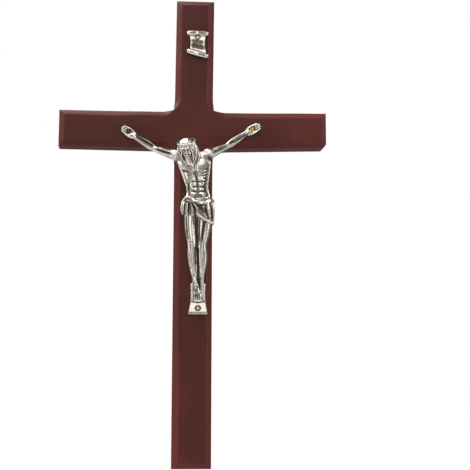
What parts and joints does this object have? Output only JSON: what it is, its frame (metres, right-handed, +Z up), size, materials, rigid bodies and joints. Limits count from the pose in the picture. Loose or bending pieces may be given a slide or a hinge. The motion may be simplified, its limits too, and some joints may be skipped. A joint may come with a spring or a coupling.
{
  "type": "wall crucifix",
  "caption": "Wall crucifix: chamfered wooden cross with a cast metal figure on a foot plate, a cast title scroll above it, and brass pins that hold both.",
  "frame": {"origin": "on the flat back, behind the middle of the crossing, where the cross lies on the wall", "axes": "+Z up along the upright, +Y out of the back into the wall, +X to the viewer's right"},
  "size_m": [0.1432, 0.0242, 0.25],
  "materials": {
    "wood": "red-brown stain, semi-gloss varnish",
    "antique_silver": "zinc alloy casting, silver plated, dark patina in the hollows",
    "brass": "polished, lightly tarnished"
  },
  "bodies": {
    "root": {"upright": "wood", "crossbar": "wood", "corpus": "antique_silver", "title_scroll": "antique_silver", "pin_right_palm": "brass", "pin_left_palm": "brass", "pin_feet": "brass", "pin_scroll": "brass"}
  },
  "joints": []
}
